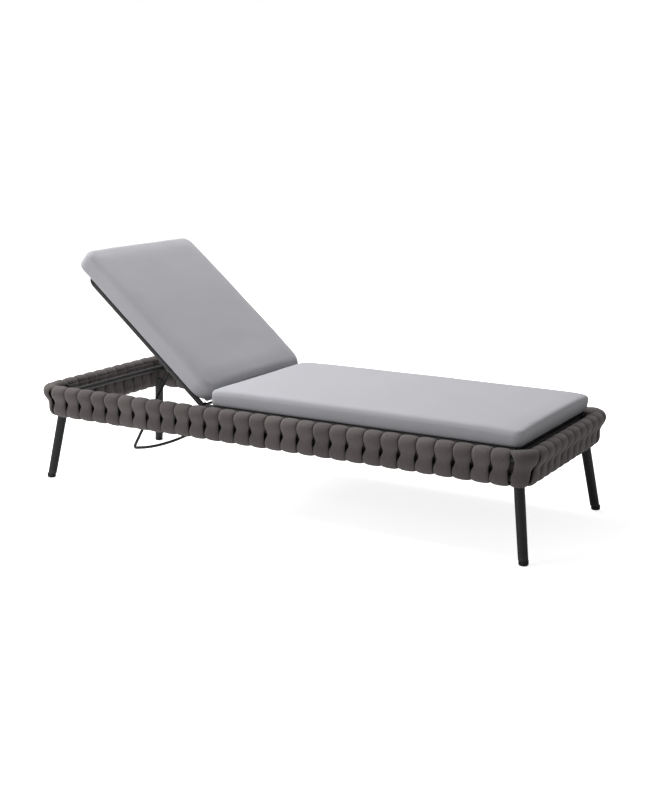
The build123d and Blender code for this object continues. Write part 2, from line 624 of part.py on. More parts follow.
with BuildPart() as prop_pins:
    for y_end in ENDS:
        head_face = PROP_PIVOT + ACROSS * y_end * (EYE_INNER - SIDE_PLAY)
        add(straight_rod(head_face, PROP_PIVOT + ACROSS * y_end * LUG_OUTER, PROP_PIN_DIAMETER))
        add(straight_rod(head_face, head_face - ACROSS * y_end * PROP_PIN_HEAD_HEIGHT, PROP_PIN_HEAD))
save(prop_pins, "prop_pins")

with BuildPart() as prop_washers:
    for y_end in ENDS:
        start = PROP_PIVOT + ACROSS * y_end * (EYE_OUTER + SIDE_PLAY)
        washer_wall = WASHER_DIAMETER / 2 - PIN_HOLE
        add(straight_tube(start, start + ACROSS * y_end * WASHER_THICKNESS, WASHER_DIAMETER, washer_wall))
save(prop_washers, "prop_washers")

for y_end, side_name in ((-1, "near"), (1, "far")):
    with BuildPart() as prop_arm:
        across = y_end * PROP_HALF_WIDTH
        eye_start = PROP_PIVOT + ACROSS * (across - PROP_EYE_WIDTH / 2)
        eye_end = eye_start + ACROSS * PROP_EYE_WIDTH
        arm_end = prop_point(PROP_ARM_LENGTH, across, 0)
        add(straight_rod(prop_point(0, across, 0), arm_end, PROP_ROD_DIAMETER))
        add(straight_rod(eye_start, eye_end, PROP_EYE_DIAMETER))
        overrun = ACROSS * SIDE_PLAY
        add(straight_rod(eye_start - overrun, eye_end + overrun, 2 * PIN_HOLE), mode=Mode.SUBTRACT)
    save(prop_arm, f"prop_arm_{side_name}")

with BuildPart() as prop_rest_bar:
    add(straight_rod(prop_point(PROP_BAR_ALONG, -PROP_BAR_HALF_LENGTH, PROP_BAR_OFFSET),
                     prop_point(PROP_BAR_ALONG, PROP_BAR_HALF_LENGTH, PROP_BAR_OFFSET), PROP_ROD_DIAMETER))
save(prop_rest_bar, "prop_rest_bar")

bow_half_angle = math.degrees(math.asin((PROP_HALF_WIDTH - PROP_BEND) / (PROP_BOW_RADIUS - PROP_BEND)))
bend_angle = QUARTER_TURN - bow_half_angle
prop_plane = Plane(origin=PROP_PIVOT, x_dir=ACROSS, z_dir=PROP_UNDER)
with BuildPart() as prop_grip:
    with BuildLine(prop_plane) as grip_path:
        first_bend = JernArc((-PROP_HALF_WIDTH, -PROP_ARM_LENGTH), (0, -1), PROP_BEND, bend_angle)
        bow = JernArc(first_bend @ 1, first_bend % 1, PROP_BOW_RADIUS, 2 * bow_half_angle)
        last_bend = JernArc(bow @ 1, bow % 1, PROP_BEND, bend_angle)
    with BuildSketch(Plane(origin=grip_path.line @ 0, z_dir=grip_path.line % 0)):
        Circle(PROP_ROD_DIAMETER / 2)
    sweep(path=grip_path.line)
save(prop_grip, "prop_grip")

# Racks: notched combs hung inside the bearers, for the ends of the rest bar
REST_BAR = prop_point(PROP_BAR_ALONG, 0, PROP_BAR_OFFSET)
RACK_TIP = REST_BAR.Z - PROP_ROD_DIAMETER / 2 - RACK_TIP_CLEARANCE
NOTCH_RADIUS = PROP_ROD_DIAMETER / 2 + RACK_NOTCH_EASE
notch_xs = [REST_BAR.X + (notch - RACK_REST_NOTCH) * RACK_PITCH for notch in range(RACK_NOTCHES)]
RACK_HEAD_X = notch_xs[0] - RACK_END_MARGIN
RACK_FOOT_X = notch_xs[-1] + RACK_END_MARGIN
RACK_LEG_TOP = BEARER_TOP - RACK_LEG_TOP_MARGIN
rivet_xs = [RACK_HEAD_X + RACK_LEG_WIDTH / 2, RACK_FOOT_X - RACK_LEG_WIDTH / 2]
rivet_zs = [CROSSBAR_Z + end * RIVET_DIAMETER for end in ENDS]
for y_end, side_name in ((-1, "near"), (1, "far")):
    leg_face = y_end * BEARER_INNER
    comb_face = y_end * (BEARER_INNER - RACK_THICKNESS)
    with BuildPart() as rack:
        with BuildSketch(Plane(origin=(0, comb_face, 0), x_dir=(1, 0, 0), z_dir=(0, -1, 0))):
            Polygon((RACK_HEAD_X, RACK_TIP - RACK_DEPTH), (RACK_FOOT_X, RACK_TIP - RACK_DEPTH),
                    (RACK_FOOT_X, RACK_TIP), (RACK_HEAD_X, RACK_TIP), align=None)
            with Locations(*[(x, RACK_TIP - RACK_NOTCH_DEPTH + NOTCH_RADIUS) for x in notch_xs]):
                Circle(NOTCH_RADIUS, mode=Mode.SUBTRACT)
        extrude(amount=y_end * RACK_THICKNESS)
        with BuildSketch(Plane(origin=(0, leg_face, 0), x_dir=(1, 0, 0), z_dir=(0, -1, 0))):
            for x in rivet_xs:
                with Locations((x, (RACK_LEG_TOP + RACK_TIP - RACK_DEPTH) / 2)):
                    Rectangle(RACK_LEG_WIDTH, RACK_LEG_TOP - RACK_TIP + RACK_DEPTH)
            with Locations(*[(x, z) for x in rivet_xs for z in rivet_zs]):
                Circle(RIVET_DIAMETER / 2 + RUNNING_FIT, mode=Mode.SUBTRACT)
        extrude(amount=y_end * RACK_THICKNESS)
    save(rack, f"prop_rack_{side_name}")

with BuildPart() as rack_rivets:
    for y_end in ENDS:
        for x in rivet_xs:
            for z in rivet_zs:
                add(straight_rod((x, y_end * (BEARER_INNER - RACK_THICKNESS), z),
                                 (x, y_end * BEARER_INNER, z), RIVET_DIAMETER))
save(rack_rivets, "rack_rivets")


def cushion(start, direction, out, length, half_width, edge, crown):
    """A box cushion: flat underneath, crowned on top, with drawn-in sides and soft ends."""
    head_end = [
        (share * CUSHION_END_ROUNDING, height, draw_in * CUSHION_SIDE_BULGE, crown_share)
        for share, height, draw_in, crown_share in CUSHION_END_STATIONS
    ]
    foot_end = [(length - along, *shape) for along, *shape in head_end[::-1]]
    middle_run = [
        (CUSHION_SHOULDER, 1.0, 0.0, 1.0),
        (length / 2, 1.0, CUSHION_DRAW_IN, 1.0),
        (length - CUSHION_SHOULDER, 1.0, 0.0, 1.0),
    ]
    stations = head_end + middle_run + foot_end
    with BuildPart() as pad:
        for along, height_share, draw_in, crown_share in stations:
            half = half_width - draw_in
            rim = half - CUSHION_SIDE_BULGE
            height = edge * height_share
            section = Plane(origin=start + direction * along, x_dir=out.cross(direction), z_dir=direction)
            with BuildSketch(section):
                with BuildLine():
                    Line((-rim, 0), (rim, 0))
                    ThreePointArc((rim, 0), (half, height / 2), (rim, height))
                    ThreePointArc((rim, height), (0, height + crown * crown_share), (-rim, height))
                    ThreePointArc((-rim, height), (-half, height / 2), (-rim, 0))
                make_face()
        loft(ruled=True)
    return pad.part


# Cushions
with BuildPart() as seat_cushion:
    add(cushion(Vector(SEAT_CUSHION_HEAD_X, 0, DECK_TOP + CUSHION_REST_GAP), Vector(1, 0, 0), UPWARD,
                SEAT_CUSHION_FOOT_X - SEAT_CUSHION_HEAD_X, SEAT_CUSHION_HALF_WIDTH,
                SEAT_CUSHION_EDGE, SEAT_CUSHION_CROWN))
save(seat_cushion, "seat_cushion")

with BuildPart() as back_cushion:
    back_face = TUBE_RADIUS + CUSHION_REST_GAP
    add(cushion(back_point(BACK_CUSHION_START, 0, back_face), BACK_DIRECTION, BACK_NORMAL,
                BACK_CUSHION_END - BACK_CUSHION_START, BACK_CUSHION_HALF_WIDTH,
                BACK_CUSHION_EDGE, BACK_CUSHION_CROWN))
save(back_cushion, "back_cushion")
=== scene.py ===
import json
import math
import random
from collections import namedtuple

import bmesh
import bpy
import numpy
from mathutils import Matrix, Vector, noise


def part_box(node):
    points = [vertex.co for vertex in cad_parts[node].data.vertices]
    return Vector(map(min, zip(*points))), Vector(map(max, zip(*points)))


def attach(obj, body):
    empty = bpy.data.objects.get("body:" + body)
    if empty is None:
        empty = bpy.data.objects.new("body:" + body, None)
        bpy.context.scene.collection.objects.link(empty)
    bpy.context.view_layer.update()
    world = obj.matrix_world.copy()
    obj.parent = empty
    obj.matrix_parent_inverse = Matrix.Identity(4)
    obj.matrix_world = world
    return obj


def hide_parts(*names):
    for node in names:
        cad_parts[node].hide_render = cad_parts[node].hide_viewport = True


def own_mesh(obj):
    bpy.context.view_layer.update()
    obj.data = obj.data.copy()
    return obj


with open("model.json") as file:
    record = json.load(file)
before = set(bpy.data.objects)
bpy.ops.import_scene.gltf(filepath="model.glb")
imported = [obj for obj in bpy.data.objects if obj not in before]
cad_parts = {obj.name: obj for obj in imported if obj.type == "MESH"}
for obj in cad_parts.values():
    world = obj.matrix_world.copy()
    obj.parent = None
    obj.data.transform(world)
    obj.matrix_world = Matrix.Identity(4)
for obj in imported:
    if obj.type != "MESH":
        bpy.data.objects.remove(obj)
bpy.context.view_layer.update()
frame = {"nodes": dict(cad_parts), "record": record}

# Belts: counts, shares, and lengths in metres
BELT_SEED = 7
SIDE_COLUMNS = 29
END_COLUMNS = 10
BELT_STEPS = 48
BELT_RING = 18
BELT_FILL = 0.99
BELT_RECESS = 0.62
BELT_PINCH = 0.22
BELT_PINCH_REACH = 0.018
BELT_LAG = 0.013
BELT_SQUARENESS = 0.8
CORNER_FILL = 0.72
CORNER_INNER_FILL = 1.6
LAG_SPREAD = (0.85, 1.15)
PUFF_SPREAD = (0.94, 1.0)

# The stretches of one belt turn, in the order of its winding
BELT_STRETCHES = 4
OVER_TOP, DOWN_OUTSIDE, UNDER_BOTTOM, UP_INSIDE = range(BELT_STRETCHES)

# Cushion blocks: lengths in metres, counts and shares
VOXEL = 0.006
FLAT_TOLERANCE = VOXEL / 10
RIM_STEPS = 6
ROUND_PROFILE = 0.5
SEAT_CROWN = 0.014
BACK_CROWN = 0.016
CUSHION_BULGE = 0.004
SEAT_CORNER = 0.024
BACK_CORNER = 0.04
SEAT_TOP_RIM = 0.015
BACK_TOP_RIM = 0.02
SEAT_BASE_RIM = 0.005
BACK_BASE_RIM = 0.007
BACK_FULLER = Vector((0.005, 0.006, 0.006))

# Cushion covers: settings of the cloth under pressure, and how evenly the cover is filled
COVER_PRESSURE = 4.0
COVER_FRAMES = 20
COVER_QUALITY = 4
COVER_MASS = 0.3
COVER_STRETCH = 12.0
COVER_SHEAR = 4.0
COVER_BENDING = 0.6
FOAM_HOLD = 0.8
EVEN_PASSES = 24
FILL_UNEVEN = 0.0011
FILL_PATCH = 0.16
FILL_FINE_TIMES = 3
FILL_FINE_SHARE = 0.4

# Ends of the cushions: how far they lean, dip, fill out and sag in metres, and the shares that shape this
FOOT_LEAN = 0.014
FOOT_LEAN_REACH = 0.12
HEAD_DIP = 0.006
HEAD_DIP_REACH = 0.16
END_FILL = 0.03
END_EDGE_SHARE = 0.6
END_SQUARENESS = 16
END_PUFF = 0.01
END_PUFF_REACH = 0.16
END_SAG = 0.014
END_SAG_REACH = 0.03
END_SAG_HALF_WIDTH = 0.277
END_SAG_EASE = 0.008

# Camera: where the photograph was taken from, and how long its lens is
CAMERA_EYE = Vector((2.3632, -3.8946, 1.3705))
CAMERA_LOOK = Vector((-0.49881, 0.83789, -0.22163))
CAMERA_LENS = 57.56
CAMERA_SENSOR = 36.0

# Colours as linear values
CHARCOAL = (0.0115, 0.0122, 0.0124)
BELT_DARK = (0.056, 0.046, 0.045)
BELT_LIGHT = (0.15, 0.127, 0.125)
CLOTH_LIGHT = (0.46, 0.46, 0.49)
CLOTH_DARK = (0.36, 0.36, 0.385)
RUBBER = (0.011, 0.011, 0.012)
STEEL = (0.34, 0.34, 0.35)
PLASTIC = (0.03, 0.03, 0.031)
FLOOR = (0.86, 0.86, 0.86)
WHITE = (1.0, 1.0, 1.0)

# Hard finishes by slot: colour, grey of the worn edges, roughness and grains per metre
HARD_FINISHES = {
    "frame_paint": dict(
        name="charcoal powder coat", colour=CHARCOAL, worn=0.06, roughness=0.46, grain=1100.0
    ),
    "slat_aluminium": dict(
        name="charcoal slat coat", colour=CHARCOAL, worn=0.07, roughness=0.5, grain=800.0
    ),
    "glide_rubber": dict(
        name="black glide rubber", colour=RUBBER, worn=0.05, roughness=0.7, grain=500.0
    ),
    "pin_steel": dict(
        name="satin pin steel", colour=STEEL, worn=0.5, roughness=0.34, grain=600.0,
        metallic=1.0, depth=0.00005,
    ),
    "bush_plastic": dict(
        name="black bush plastic", colour=PLASTIC, worn=0.08, roughness=0.5, grain=700.0
    ),
}
COAT_DEPTH = 0.00015
COAT_BUMP = 0.5
COAT_SPECULAR = 0.32
METAL_SPECULAR = 0.5
COAT_TONE_LIFT = 1.5
COAT_ROUGHNESS_SPREAD = 0.16
GRAIN_NOISE = {"detail": 3.0}
DRIFT_NOISE = {"detail": 4.0, "roughness": 0.6}
WORN_NOISE = {"scale": 35.0, "detail": 4.0}

# Cushion cloth: threads per metre, its noises, and the weights of what makes its tone
CLOTH_THREADS = 640.0
CLOTH_FACING = 4.0
CLOTH_SURFACE = {"Sheen Weight": 0.25, "Sheen Roughness": 0.45, "Specular IOR Level": 0.25}
CLOTH_BUMP = {"Strength": 0.35, "Distance": 0.0004}
CLOTH_ROUGHNESS = 0.8
CLOTH_ROUGHNESS_SPREAD = 0.12
SLUB_NOISE = {"scale": 420.0, "detail": 3.0, "roughness": 0.7}
CLOUD_NOISE = {"scale": 3.5, "detail": 3.0, "roughness": 0.5}
SLUB_WEIGHT = 0.6
THREAD_WEIGHT = 0.35
CLOUD_WEIGHT = 0.3
WEAVE_OVER_HEIGHT = 0.5
WEAVE_ROUND_HEIGHT = 0.25

# Belt knit: ribs per metre, its noise, and the weights of what makes its tone
KNIT_RIBS = 190.0
KNIT_SLANT = 1.2
KNIT_STAGGER = 0.37
KNIT_FLATNESS = 0.6
KNIT_STITCH_HEIGHT = 0.6
KNIT_SURFACE = {"Sheen Weight": 0.15, "Sheen Roughness": 0.5, "Specular IOR Level": 0.3}
KNIT_BUMP = {"Strength": 0.7, "Distance": 0.0012}
KNIT_ROUGHNESS = 0.72
KNIT_ROUGHNESS_SPREAD = 0.15
YARN_NOISE = {"scale": 260.0, "detail": 4.0, "roughness": 0.75}
YARN_WEIGHT = 0.75
STITCH_WEIGHT = 0.22
COLUMN_WEIGHT = 0.3
COLUMN_SHIFT = -0.22

# Stage: the surroundings' share of the light, the floor's glow to the camera, and the lamps
SURROUND_FILL = 0.28
FLOOR_GLOW = 0.78
FLOOR_REACH = 30.0
FLOOR_ROUGHNESS = 0.9
LAMPS = {
    "overhead": dict(place=(-2.9, 0.27, 5.1), aim=(0.2, 0, 0.3), size=4.0, power=420.0),
    "front": dict(place=(-2.4, -3.4, 1.9), aim=(0, 0, 0.3), size=2.0, power=40.0),
}

# Sockets of a mix node that mixes colours
MIX_FACTOR = 0
MIX_FIRST = 6
MIX_SECOND = 7
MIX_RESULT = 2

draw = random.Random(BELT_SEED)


def corners(node):
    """Lowest and highest corner of a node as vectors."""
    low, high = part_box(node)
    return Vector(low), Vector(high)


def middle(node):
    """Middle of a node's box."""
    low, high = corners(node)
    return (low + high) / 2


# Band sizes, read from the rails and the belts
STRAIGHT_X = corners("top_rail_near")[1].x
STRAIGHT_Y = corners("top_rail_foot")[1].y
TOP_X = middle("top_rail_foot").x
TOP_Y = -middle("top_rail_near").y
TOP_Z = middle("top_rail_near").z
RAIL_RADIUS = (corners("top_rail_near")[1].z - corners("top_rail_near")[0].z) / 2
RAIL_DROP = TOP_Z - middle("bottom_rail_near").z
RAIL_INSET = TOP_Y + middle("bottom_rail_near").y
CORNER = TOP_X - STRAIGHT_X
CORNER_ARC = CORNER * math.pi / 2
BELT_THICK = corners("belts_near")[1].z - TOP_Z - RAIL_RADIUS
BELT_RADIUS = RAIL_RADIUS + BELT_THICK / 2
BELT_SPAN = math.hypot(RAIL_DROP, RAIL_INSET)
UP = Vector((0, 0, 1))
Side = namedtuple("Side", "direction outward half reach columns")
SIDES = {
    "near": Side(Vector((1, 0, 0)), Vector((0, -1, 0)), STRAIGHT_X, TOP_Y, SIDE_COLUMNS),
    "foot": Side(Vector((0, 1, 0)), Vector((1, 0, 0)), STRAIGHT_Y, TOP_X, END_COLUMNS),
    "far": Side(Vector((-1, 0, 0)), Vector((0, 1, 0)), STRAIGHT_X, TOP_Y, SIDE_COLUMNS),
    "head": Side(Vector((0, -1, 0)), Vector((-1, 0, 0)), STRAIGHT_Y, TOP_X, END_COLUMNS),
}

# Backrest frame, read from its joint and its tube
JOINTS = frame["record"]["behaviour"]["joints"]
HINGE = Vector(next(joint["pos_m"] for joint in JOINTS if joint["child"] == "backrest"))
BACK_TOP = middle("backrest_top_tube")
BACK_ANGLE = math.atan2(BACK_TOP.z - HINGE.z, HINGE.x - BACK_TOP.x)


def new_object(name, data):
    """A new object in the scene from a finished mesh, lamp or camera."""
    obj = bpy.data.objects.new(name, data)
    bpy.context.scene.collection.objects.link(obj)
    return obj


def dress(obj, body, node):
    """A piece of the scene takes a node's place and rides its body."""
    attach(obj, body)
    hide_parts(node)


# Shader node groups shared by the finishes


def plug(tree, socket, value):
    """Give a socket a plain number, a colour, or a link from another socket."""
    if isinstance(value, (int, float)):
        socket.default_value = value
    elif isinstance(value, tuple):
        socket.default_value = (*value, 1.0)
    else:
        tree.links.new(value, socket)


def set_inputs(node, values):
    """Give the named inputs of a node plain numbers."""
    for name, value in values.items():
        node.inputs[name].default_value = value


def new_group(name, inputs, outputs):
    """An empty shader node group with named number sockets."""
    group = bpy.data.node_groups.new(name, "ShaderNodeTree")
    for socket, value in inputs.items():
        made = group.interface.new_socket(name=socket, in_out="INPUT", socket_type="NodeSocketFloat")
        made.default_value = value
    for socket in outputs:
        group.interface.new_socket(name=socket, in_out="OUTPUT", socket_type="NodeSocketFloat")
    entry = group.nodes.new("NodeGroupInput")
    leave = group.nodes.new("NodeGroupOutput")
    return group, entry, leave


def math_node(tree, operation, *values):
    """A math node whose inputs are sockets or plain numbers; gives its output socket."""
    node = tree.nodes.new("ShaderNodeMath")
    node.operation = operation
    for place, value in enumerate(values):
        plug(tree, node.inputs[place], value)
    return node.outputs[0]


def mix_colour(tree, factor, first, second):
    """A colour mix between two sockets or colours; gives its output socket."""
    node = tree.nodes.new("ShaderNodeMix")
    node.data_type = "RGBA"
    for place, value in ((MIX_FACTOR, factor), (MIX_FIRST, first), (MIX_SECOND, second)):
        plug(tree, node.inputs[place], value)
    return node.outputs[MIX_RESULT]


def noise_node(tree, vector, scale, detail, roughness=0.5):
    """A noise texture on a vector socket; gives its value socket."""
    node = tree.nodes.new("ShaderNodeTexNoise")
    set_inputs(node, {"Detail": detail, "Roughness": roughness})
    plug(tree, node.inputs["Scale"], scale)
    tree.links.new(vector, node.inputs["Vector"])
    return node.outputs["Fac"]


def weave_group():
    """Plain weave in a plane of two coordinates in metres: thread height and thread tone."""
    inputs = {"Across": 0.0, "Along": 0.0, "Threads per metre": CLOTH_THREADS}
    group, entry, leave = new_group("plain weave", inputs, ("Height", "Tone"))
    turns = math_node(group, "MULTIPLY", entry.outputs["Threads per metre"], math.pi)
    warp = math_node(group, "SINE", math_node(group, "MULTIPLY", entry.outputs["Across"], turns))
    weft = math_node(group, "SINE", math_node(group, "MULTIPLY", entry.outputs["Along"], turns))
    crossing = math_node(group, "MULTIPLY", warp, weft)
    over = math_node(group, "MULTIPLY_ADD", crossing, 0.5, 0.5)
    rounding = math_node(group, "ABSOLUTE", math_node(group, "ADD", warp, weft))
    lift = math_node(group, "MULTIPLY", over, WEAVE_OVER_HEIGHT)
    height = math_node(group, "MULTIPLY_ADD", rounding, WEAVE_ROUND_HEIGHT, lift)
    group.links.new(height, leave.inputs["Height"])
    group.links.new(over, leave.inputs["Tone"])
    return group


def knit_group():
    """Rib knit along a belt, in belt coordinates in metres: stitch height and stitch tone."""
    inputs = {"Along": 0.0, "Across": 0.0, "Ribs per metre": KNIT_RIBS}
    group, entry, leave = new_group("rib knit", inputs, ("Height", "Tone"))
    rib = math_node(group, "MULTIPLY", entry.outputs["Across"], entry.outputs["Ribs per metre"])
    column = math_node(group, "FLOOR", rib)
    inside = math_node(group, "FRACT", rib)
    valley = math_node(group, "SINE", math_node(group, "MULTIPLY", inside, math.pi))
    off_middle = math_node(group, "ABSOLUTE", math_node(group, "SUBTRACT", inside, 0.5))
    slant = math_node(group, "MULTIPLY", off_middle, KNIT_SLANT)
    row = math_node(group, "MULTIPLY_ADD", entry.outputs["Along"], entry.outputs["Ribs per metre"], slant)
    row = math_node(group, "MULTIPLY_ADD", column, KNIT_STAGGER, row)
    stitch = math_node(group, "SINE", math_node(group, "MULTIPLY", math_node(group, "FRACT", row), math.pi))
    flattened = math_node(group, "POWER", valley, KNIT_FLATNESS)
    stitched = math_node(group, "MULTIPLY_ADD", stitch, KNIT_STITCH_HEIGHT, 1 - KNIT_STITCH_HEIGHT)
    height = math_node(group, "MULTIPLY", flattened, stitched)
    group.links.new(height, leave.inputs["Height"])
    group.links.new(stitch, leave.inputs["Tone"])
    return group


def grain_group():
    """Fine grain of a coated or moulded surface: height, and a slow drift of tone."""
    group, entry, leave = new_group("fine grain", {"Grain": 900.0, "Drift": 6.0}, ("Height", "Tone"))
    coordinates = group.nodes.new("ShaderNodeTexCoord")
    grain = noise_node(group, coordinates.outputs["Object"], entry.outputs["Grain"], **GRAIN_NOISE)
    drift = noise_node(group, coordinates.outputs["Object"], entry.outputs["Drift"], **DRIFT_NOISE)
    group.links.new(grain, leave.inputs["Height"])
    group.links.new(drift, leave.inputs["Tone"])
    return group


def worn_edge_group():
    """Mask of worn and dusty edges: high where the surface is sharply convex."""
    group, entry, leave = new_group("worn edges", {"Start": 0.52, "End": 0.62}, ("Mask",))
    geometry = group.nodes.new("ShaderNodeNewGeometry")
    coordinates = group.nodes.new("ShaderNodeTexCoord")
    patch = noise_node(group, coordinates.outputs["Object"], **WORN_NOISE)
    ramp = group.nodes.new("ShaderNodeMapRange")
    group.links.new(geometry.outputs["Pointiness"], ramp.inputs["Value"])
    group.links.new(entry.outputs["Start"], ramp.inputs["From Min"])
    group.links.new(entry.outputs["End"], ramp.inputs["From Max"])
    mask = math_node(group, "MULTIPLY", ramp.outputs["Result"], patch)
    group.links.new(mask, leave.inputs["Mask"])
    return group


WEAVE = weave_group()
KNIT = knit_group()
GRAIN = grain_group()
WORN = worn_edge_group()


def place_group(tree, group, values):
    """A group node in a material, with its own plain values."""
    node = tree.nodes.new("ShaderNodeGroup")
    node.node_tree = group
    set_inputs(node, values)
    return node


# Materials


def new_material(name):
    """A material with a plain Principled shader; gives the material, its tree and the shader."""
    material = bpy.data.materials.new(name)
    material.use_nodes = True
    tree = material.node_tree
    shader = tree.nodes["Principled BSDF"]
    return material, tree, shader


def add_bump(tree, shader, height, values):
    """A bump from a height socket into the shader's normal."""
    bump = tree.nodes.new("ShaderNodeBump")
    set_inputs(bump, values)
    tree.links.new(height, bump.inputs["Height"])
    tree.links.new(bump.outputs["Normal"], shader.inputs["Normal"])


def coated_material(name, colour, worn, roughness, grain, metallic=0.0, depth=COAT_DEPTH):
    """A coated, moulded or bare hard surface with fine grain, drift of tone and worn edges."""
    material, tree, shader = new_material(name)
    specular = METAL_SPECULAR if metallic else COAT_SPECULAR
    set_inputs(shader, {"Metallic": metallic, "Specular IOR Level": specular})
    texture = place_group(tree, GRAIN, {"Grain": grain})
    edges = place_group(tree, WORN, {})
    pale = tuple(min(1.0, channel * COAT_TONE_LIFT) for channel in colour)
    base = mix_colour(tree, texture.outputs["Tone"], colour, pale)
    base = mix_colour(tree, edges.outputs["Mask"], base, (worn, worn, worn))
    tree.links.new(base, shader.inputs["Base Color"])
    smoothest = roughness - COAT_ROUGHNESS_SPREAD / 2
    rough = math_node(tree, "MULTIPLY_ADD", texture.outputs["Tone"], COAT_ROUGHNESS_SPREAD, smoothest)
    tree.links.new(rough, shader.inputs["Roughness"])
    add_bump(tree, shader, texture.outputs["Height"], {"Strength": COAT_BUMP, "Distance": depth})
    return material


def cushion_material():
    """Plain woven outdoor cloth, melange grey, woven in the cushion's own three directions."""
    material, tree, shader = new_material("grey woven cloth")
    set_inputs(shader, CLOTH_SURFACE)
    coordinates = tree.nodes.new("ShaderNodeTexCoord")
    place = tree.nodes.new("ShaderNodeSeparateXYZ")
    tree.links.new(coordinates.outputs["Object"], place.inputs[0])
    facing = tree.nodes.new("ShaderNodeSeparateXYZ")
    tree.links.new(coordinates.outputs["Normal"], facing.inputs[0])
    height = 0.0
    tone = 0.0
    for across, along, normal in (("X", "Y", "Z"), ("X", "Z", "Y"), ("Y", "Z", "X")):
        weave = place_group(tree, WEAVE, {"Threads per metre": CLOTH_THREADS})
        tree.links.new(place.outputs[across], weave.inputs["Across"])
        tree.links.new(place.outputs[along], weave.inputs["Along"])
        share = math_node(tree, "POWER", math_node(tree, "ABSOLUTE", facing.outputs[normal]), CLOTH_FACING)
        height = math_node(tree, "MULTIPLY_ADD", weave.outputs["Height"], share, height)
        tone = math_node(tree, "MULTIPLY_ADD", weave.outputs["Tone"], share, tone)
    slub = noise_node(tree, coordinates.outputs["Object"], **SLUB_NOISE)
    cloud = noise_node(tree, coordinates.outputs["Object"], **CLOUD_NOISE)
    threads = math_node(tree, "MULTIPLY", tone, THREAD_WEIGHT)
    melange = math_node(tree, "MULTIPLY_ADD", slub, SLUB_WEIGHT, threads)
    melange = math_node(tree, "MULTIPLY_ADD", cloud, CLOUD_WEIGHT, melange)
    rough = math_node(tree, "MULTIPLY_ADD", slub, CLOTH_ROUGHNESS_SPREAD, CLOTH_ROUGHNESS)
    tree.links.new(mix_colour(tree, melange, CLOTH_DARK, CLOTH_LIGHT), shader.inputs["Base Color"])
    tree.links.new(rough, shader.inputs["Roughness"])
    add_bump(tree, shader, height, CLOTH_BUMP)
    return material


def belt_material():
    """Padded rib-knit belt, taupe grey, following the belt's own length and width."""
    material, tree, shader = new_material("taupe knitted belt")
    set_inputs(shader, KNIT_SURFACE)
    layout = tree.nodes.new("ShaderNodeUVMap")
    layout.uv_map = "belt"
    place = tree.nodes.new("ShaderNodeSeparateXYZ")
    tree.links.new(layout.outputs["UV"], place.inputs[0])
    knit = place_group(tree, KNIT, {"Ribs per metre": KNIT_RIBS})
    tree.links.new(place.outputs["X"], knit.inputs["Along"])
    tree.links.new(place.outputs["Y"], knit.inputs["Across"])
    coordinates = tree.nodes.new("ShaderNodeTexCoord")
    yarn = noise_node(tree, coordinates.outputs["Object"], **YARN_NOISE)
    tint = tree.nodes.new("ShaderNodeAttribute")
    tint.attribute_name = "column_tone"
    stitches = math_node(tree, "MULTIPLY", knit.outputs["Tone"], STITCH_WEIGHT)
    columns = math_node(tree, "MULTIPLY_ADD", tint.outputs["Fac"], COLUMN_WEIGHT, COLUMN_SHIFT)
    melange = math_node(tree, "MULTIPLY_ADD", yarn, YARN_WEIGHT, stitches)
    melange = math_node(tree, "ADD", melange, columns)
    rough = math_node(tree, "MULTIPLY_ADD", yarn, KNIT_ROUGHNESS_SPREAD, KNIT_ROUGHNESS)
    tree.links.new(mix_colour(tree, melange, BELT_DARK, BELT_LIGHT), shader.inputs["Base Color"])
    tree.links.new(rough, shader.inputs["Roughness"])
    add_bump(tree, shader, knit.outputs["Height"], KNIT_BUMP)
    return material


SLOT_FINISHES = {slot: coated_material(**finish) for slot, finish in HARD_FINISHES.items()}
SLOT_FINISHES["cushion_fabric"] = cushion_material()
SLOT_FINISHES["belt_fabric"] = belt_material()


def finish_frame_nodes():
    """Every carried-over node gets the finish of its slot."""
    slots = {entry["node"]: entry["material_slot"] for entry in frame["record"]["subparts"]}
    for name, obj in frame["nodes"].items():
        obj.data.materials.clear()
        obj.data.materials.append(SLOT_FINISHES[slots[name]])


# Belts


def band_point(side, along, out, height):
    """A point of the band: along one side from its middle, out from the top rail, at a height."""
    held = max(-side.half, min(side.half, along))
    turn = (along - held) / CORNER
    radial = side.outward * math.cos(turn) + side.direction * math.sin(turn)
    corner_centre = side.direction * held + side.outward * (side.reach - CORNER)
    return corner_centre + radial * (CORNER + out) + UP * height


def belt_path(step):
    """One step round a belt turn, over the top from inside to outside: up from the middle, and out."""
    stretch, share = divmod(BELT_STRETCHES * step / BELT_STEPS, 1)
    sway = 0.5 + 0.5 * math.cos(2 * math.pi * share)
    out = BELT_RADIUS * (BELT_RECESS + (1 - BELT_RECESS) * sway)
    angle = math.pi * (share - 0.5)
    if stretch == OVER_TOP:
        return BELT_SPAN / 2 + BELT_RADIUS * math.cos(angle), BELT_RADIUS * math.sin(angle)
    if stretch == DOWN_OUTSIDE:
        return BELT_SPAN * (0.5 - share), out
    if stretch == UNDER_BOTTOM:
        return -BELT_SPAN / 2 - BELT_RADIUS * math.cos(angle), -BELT_RADIUS * math.sin(angle)
    return BELT_SPAN * (share - 0.5), -out


def belt_drift(step, lag, pitch):
    """How far a winding belt has moved along the rail: a little outside, the rest of a pitch inside."""
    stretch, share = divmod(BELT_STRETCHES * step / BELT_STEPS, 1)
    ease = 0.5 - 0.5 * math.cos(math.pi * share)
    if stretch == OVER_TOP:
        return 0.0
    if stretch == DOWN_OUTSIDE:
        return -lag * ease
    if stretch == UNDER_BOTTOM:
        return -lag
    if stretch == UP_INSIDE:
        return -lag - (pitch - lag) * ease
    return -pitch


